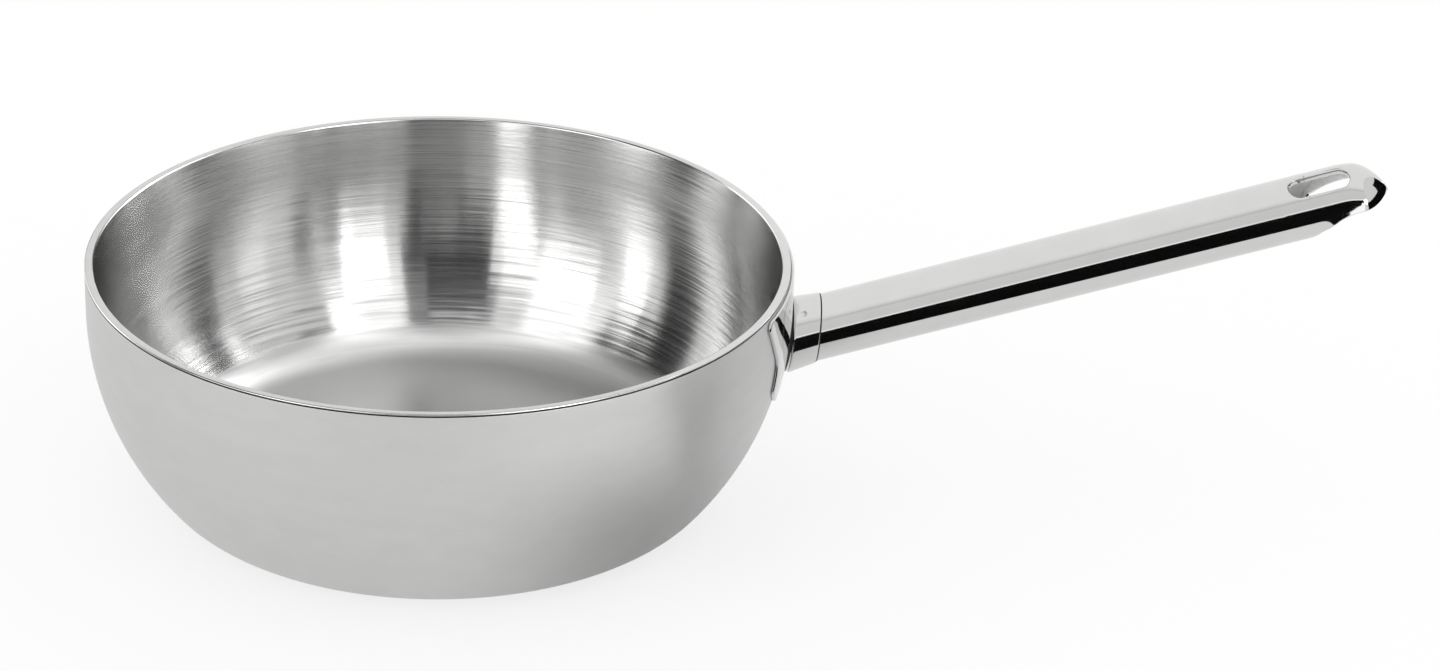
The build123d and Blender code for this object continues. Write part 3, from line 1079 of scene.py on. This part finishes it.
# Light boxes round the pan: from and to, turning from the camera's side towards the handle's side,
# then lowest and highest edge, all in degrees, and strength
LIGHT_BOXES = [
    (-14, 5, 50, 96, 1.3),
    (5, 19, 28, 96, 0.4),
    (14, 19, 10, 50, 1.4),
    (19, 42, -12, 10, 2),
    (19, 31, 10, 28, 3.4),
    (31, 50, 10, 28, 7),
    (19, 42, 28, 50, 1.7),
    (19, 42, 50, 96, 1.8),
    (42, 50, -12, 10, 4),
    (42, 50, 28, 96, 4.2),
    (50, 66, -12, 28, 1.4),
    (50, 66, 50, 96, 2.2),
    (66, 78, -12, 28, 0.7),
    (78, 97, 50, 96, 1.5),
    (92, 97, 28, 50, 4.5),
    (88, 97, -12, 10, 9),
    (97, 114, -12, 10, 1.4),
    (108, 114, 10, 28, 6),
    (114, 125, -12, 10, 14),
    (114, 125, 10, 28, 28),
    (114, 136, 28, 50, 12),
    (114, 158, 50, 96, 2.5),
    (125, 144, -12, 28, 3),
    (144, 150, -12, 28, 0.6),
    (158, 180, -12, 12, 1.2),
    (168, 192, 12, 36, 1.1),
    (202, 228, -12, 50, 1.7),
    (216, 228, 10, 28, 1),
    (228, 246, -12, 10, 1.8),
    (228, 246, 10, 28, 3.8),
    (246, 265, -12, 10, 2.2),
    (278, 300, -12, 28, 1.9),
    (278, 346, 50, 96, 1.7),
    (288, 322, 28, 50, 2),
    (322, 336, 28, 50, 0.9),
    (300, 318, -12, 10, 0.8),
    (300, 322, 10, 28, 4),
    (322, 336, 10, 28, 2.2),
    (336, 341, -12, 28, 1.6),
]
BOX_SOFT = 1.2
BOX_SOFT_UP = 14
STRAIGHT_UP = 90
ROOM_LEVEL = 0.03


def light_box(tree, way, height, box):
    """A light box's level in a direction, given as its way round and its height."""
    start, end, low, high, strength = box
    middle, half = radians(start + end) / 2, (end - start) / 2
    aim = vector_node(tree, "DOT_PRODUCT", way, (sin(middle), -cos(middle), 0))
    outer, inner = cos(radians(half + BOX_SOFT / 2)), cos(radians(half - BOX_SOFT / 2))
    level = soft_step(tree, aim, outer, inner)
    below, above = (sin(radians(low + side * BOX_SOFT_UP / 2)) for side in (-1, 1))
    level = math_node(tree, "MULTIPLY", level, soft_step(tree, height, below, above))
    if high < STRAIGHT_UP:
        above, below = (sin(radians(high + side * BOX_SOFT_UP / 2)) for side in (1, -1))
        level = math_node(tree, "MULTIPLY", level, soft_step(tree, height, above, below))
    return math_node(tree, "MULTIPLY", level, strength)


def make_world():
    """White for the camera, a dark room with light boxes for what the metal mirrors."""
    world = bpy.data.worlds.new("studio")
    bpy.context.scene.world = world
    world.use_nodes = True
    tree = world.node_tree
    tree.nodes.clear()
    direction = add(tree, "ShaderNodeTexCoord").outputs["Generated"]
    way = vector_node(tree, "NORMALIZE", vector_node(tree, "MULTIPLY", direction, (1, 1, 0)))
    height = split_up(tree, direction)["Z"]
    total = ROOM_LEVEL
    for box in LIGHT_BOXES:
        total = math_node(tree, "ADD", light_box(tree, way, height, box), total)
    studio = add(tree, "ShaderNodeBackground", {"Strength": total}).outputs[0]
    white = add(tree, "ShaderNodeBackground", {"Color": (1, 1, 1, 1)}).outputs[0]
    mirrored = add(tree, "ShaderNodeLightPath").outputs["Is Glossy Ray"]
    mixed = add(tree, "ShaderNodeMixShader", {0: mirrored, 1: white, 2: studio}).outputs[0]
    add(tree, "ShaderNodeOutputWorld", {"Surface": mixed})


# Floor: levels as the camera and the metal see it, with a painted shadow, seen only in the metal, where the
# bowl shades it by the handle
FLOOR_SIZE = 12
FLOOR_SEEN = 0.72
FLOOR_MIRRORED = 0.56
FLOOR_PAINT = (0.28, 0.28, 0.28, 1)
PAINTED_SHADOW_PLACE = (0.09, -0.085, 0)
PAINTED_SHADOW_RADIUS = 0.1
PAINTED_SHADOW_LEVEL = 0.16


def stage_card(name, points, faces, material):
    """A flat or bent card of the studio."""
    card = placed(name, new_mesh(name, points, faces))
    card.data.materials.append(material)
    return card


def bare_material(name):
    """A material with an empty tree."""
    material = bpy.data.materials.new(name)
    material.use_nodes = True
    material.node_tree.nodes.clear()
    return material, material.node_tree


def make_floor():
    """A pale floor that shows white but keeps a soft shadow, with a painted shadow in what the metal mirrors.
    """
    material, tree = bare_material("white_floor")
    where = add(tree, "ShaderNodeTexCoord").outputs["Object"]
    # Painted shadow: the glow that the metal mirrors falls off near the bowl's right-hand side
    away = vector_node(tree, "DISTANCE", where, PAINTED_SHADOW_PLACE)
    painted_shadow = soft_step(tree, away, 0, PAINTED_SHADOW_RADIUS, PAINTED_SHADOW_LEVEL, FLOOR_MIRRORED)
    mirrored = add(tree, "ShaderNodeLightPath").outputs["Is Glossy Ray"]
    level = mapped(tree, mirrored, (0, 1), (FLOOR_SEEN, painted_shadow))
    glow = add(tree, "ShaderNodeEmission", {"Strength": level}).outputs[0]
    paint = add(tree, "ShaderNodeBsdfDiffuse", {"Color": FLOOR_PAINT}).outputs[0]
    both = add(tree, "ShaderNodeAddShader", {0: glow, 1: paint}).outputs[0]
    add(tree, "ShaderNodeOutputMaterial", {"Surface": both})
    s = FLOOR_SIZE
    stage_card("floor", [(-s, -s, 0), (s, -s, 0), (s, s, 0), (-s, s, 0)], [(0, 1, 2, 3)], material)


def mirrored_card(name, points, faces, material):
    """A stage card that shows only in what the metal mirrors."""
    card = stage_card(name, points, faces, material)
    for kind in ("camera", "diffuse", "transmission", "volume_scatter", "shadow"):
        setattr(card, "visible_" + kind, False)
    return card


def glow_material(name, level=None):
    """A light or dark card seen from its inner side; without a level, the mesh gives it."""
    material, tree = bare_material(name)
    if level is None:
        level = add(tree, "ShaderNodeAttribute", attribute_name="level").outputs["Fac"]
    glow = add(tree, "ShaderNodeEmission", {"Strength": level}).outputs[0]
    clear = add(tree, "ShaderNodeBsdfTransparent").outputs[0]
    outer_side = add(tree, "ShaderNodeNewGeometry").outputs["Backfacing"]
    passed = add(tree, "ShaderNodeLightPath").outputs["Transparent Depth"]
    through = math_node(tree, "MAXIMUM", math_node(tree, "GREATER_THAN", passed, 0.5), outer_side)
    mixed = add(tree, "ShaderNodeMixShader", {0: through, 1: glow, 2: clear}).outputs[0]
    add(tree, "ShaderNodeOutputMaterial", {"Surface": mixed})
    return material


# Tunnel of cloth over the handle: where its front starts at both ends, in degrees above the near side,
# then its brightness by degrees above that front
TENT_RADIUS = 0.1
TENT_NEAR = -0.012
TENT_FAR = 0.33
TENT_FRONT_NEAR = 6.8
TENT_FRONT_FAR = 8.6
TENT_BACK = 188
TENT_STEPS = 290
TENT_LEVELS = [(0, 1.1), (3.5, 1.1), (4.5, 0.74), (34, 0.76), (37, 0.64)]
TENT_LEVELS += [(39, 0.66), (43, 0.82), (52, 0.94), (188, 0.96)]

# Black skirt from the tunnel's front to a line on the floor, and a light strip on its far end
CARD_LIFT = 0.001
SKIRT_NEAR = (0.144, -0.086)
SKIRT_FAR = (0.363, -0.116)
SKIRT_END = 0.27
GAP_START = 0.235
GAP_DROP = 0.14
GAP_LEVEL = 1.3

# Caps beyond the tip, as outlines towards the near side and up, with their levels
BLACK_LEVEL = 0.003
CAP_LEVEL = 0.8
CAP_DARK = [(-0.012, 0.04), (-0.012, -0.012), (0.12, -0.022), (0.12, -0.14), (-0.12, -0.14), (-0.12, 0.04)]
CAP_LIGHT = [(-0.11, 0.04), (-0.012, 0.04), (-0.012, -0.012), (0.11, -0.02), (0.11, 0.11), (-0.11, 0.11)]


def tent_level(angle):
    """Brightness of the tunnel's cloth at an angle above its front."""
    for (a, low), (b, high) in zip(TENT_LEVELS, TENT_LEVELS[1:]):
        if angle <= b:
            return low + (high - low) * share_between(angle, a, b)
    return TENT_LEVELS[-1][1]


def make_tent():
    """A white half tunnel over the handle, bright on its inner side only; gives its front's two ends."""
    points, levels = [], []
    for end, front in ((TENT_NEAR, TENT_FRONT_NEAR), (TENT_FAR, TENT_FRONT_FAR)):
        for i in range(TENT_STEPS + 1):
            rise = (TENT_BACK - front) * i / TENT_STEPS
            a = radians(front + rise)
            points.append(ROOT + AXIS * end + (NEAR_SIDE * cos(a) + RISE_UP * sin(a)) * TENT_RADIUS)
            levels.append(tent_level(rise))
    far = TENT_STEPS + 1
    faces = [(i, i + 1, far + 1 + i, far + i) for i in range(TENT_STEPS)]
    tent = mirrored_card("handle_tent", points, faces, glow_material("tent_cloth"))
    tent.data.attributes.new("level", "FLOAT", "POINT").data.foreach_set("value", levels)
    return points[0], points[far]


def make_skirt(top_near, top_far):
    """The black skirt below the tunnel's front, and the light strip that the tail of the tube mirrors."""
    reach = (top_far - top_near).x / (SKIRT_FAR[0] - SKIRT_NEAR[0])
    low_near = Vector((*SKIRT_NEAR, CARD_LIFT))
    low_far = low_near.lerp(Vector((*SKIRT_FAR, CARD_LIFT)), reach)
    shift = (top_near.x - low_near.x) / (low_far.x - low_near.x)
    low_near, low_far = low_near.lerp(low_far, shift), low_near.lerp(low_far, shift + 1)
    share = (SKIRT_END - TENT_NEAR) / (TENT_FAR - TENT_NEAR)
    top_far, low_far = top_near.lerp(top_far, share), low_near.lerp(low_far, share)
    corners = [low_near, low_far, top_far, top_near]
    mirrored_card("dark_skirt", corners, [(0, 3, 2, 1)], glow_material("black_cloth", BLACK_LEVEL))
    start = (GAP_START - TENT_NEAR) / (SKIRT_END - TENT_NEAR)
    corners = []
    for along, down in ((start, 1), (1, 1), (1, GAP_DROP), (start, GAP_DROP)):
        top, foot = top_near.lerp(top_far, along), low_near.lerp(low_far, along)
        corners.append(top.lerp(foot, down) - NEAR_SIDE * 2 * CARD_LIFT)
    mirrored_card("light_strip", corners, [(0, 3, 2, 1)], glow_material("light_strip", GAP_LEVEL))


def make_caps():
    """A dark and a light card beyond the tip, turned towards it."""
    for name, outline, level in (("dark_cap", CAP_DARK, BLACK_LEVEL), ("light_cap", CAP_LIGHT, CAP_LEVEL)):
        corners = [ROOT + AXIS * TENT_FAR + NEAR_SIDE * near + RISE_UP * up for near, up in outline]
        cap = mirrored_card(name, corners, [tuple(range(len(corners)))], glow_material(name, level))
        if cap.data.polygons[0].normal.dot(AXIS) > 0:
            cap.data.flip_normals()


def coated(piece, *finishes):
    """The piece with its finishes added in turn."""
    for finish in finishes:
        piece.data.materials.append(make_marked_metal(finish))
    return piece


# Making
TURNED_MARKS = make_turned_marks()
HANDLING_MARKS = make_handling_marks()
TURNING = make_turning_tree()
make_camera()
make_world()
make_floor()
front_near, front_far = make_tent()
make_skirt(front_near, front_far)
make_caps()

liner_steels = [make_liner_steel(f"liner_steel_{i}", i / BRUSHED_STEPS) for i in range(BRUSHED_STEPS + 1)]
bowl_seam_painted_shade = make_marked_metal("bowl_seam_painted_shade")
liner = make_bowl_liner(liner_steels[0])
for material in liner_steels[1:] + [make_marked_metal("rim_steel"), bowl_seam_painted_shade]:
    liner.data.materials.append(material)
for face in liner.data.polygons:
    face.material_index = liner_slot(face.center)
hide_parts("inner_liner")

skin = make_bowl_skin(make_skin_steel())
skin.data.materials.append(bowl_seam_painted_shade)
# The skin's top edge under the groove takes the seam's painted shade
for face in skin.data.polygons:
    face.material_index = int(face.center.z > GROOVE_LOW - LIP_ROUND / 5)
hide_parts("outer_skin")

bracket = coated(make_bracket(), "bracket_steel", "weld_painted_shade")
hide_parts("handle_bracket")

collar = coated(make_collar(), "collar_steel", "collar_seam_painted_shade")
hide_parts("handle_collar")

tube = coated(make_tube(), "tube_steel", "tube_inside")
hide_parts("handle_tube")

for node, finish in (("aluminium_core", "core_aluminium"), ("joining_spigot", "spigot_steel")):
    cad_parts[node].data.materials.clear()
    coated(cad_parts[node], finish)

bpy.context.scene.view_settings.view_transform = "Standard"
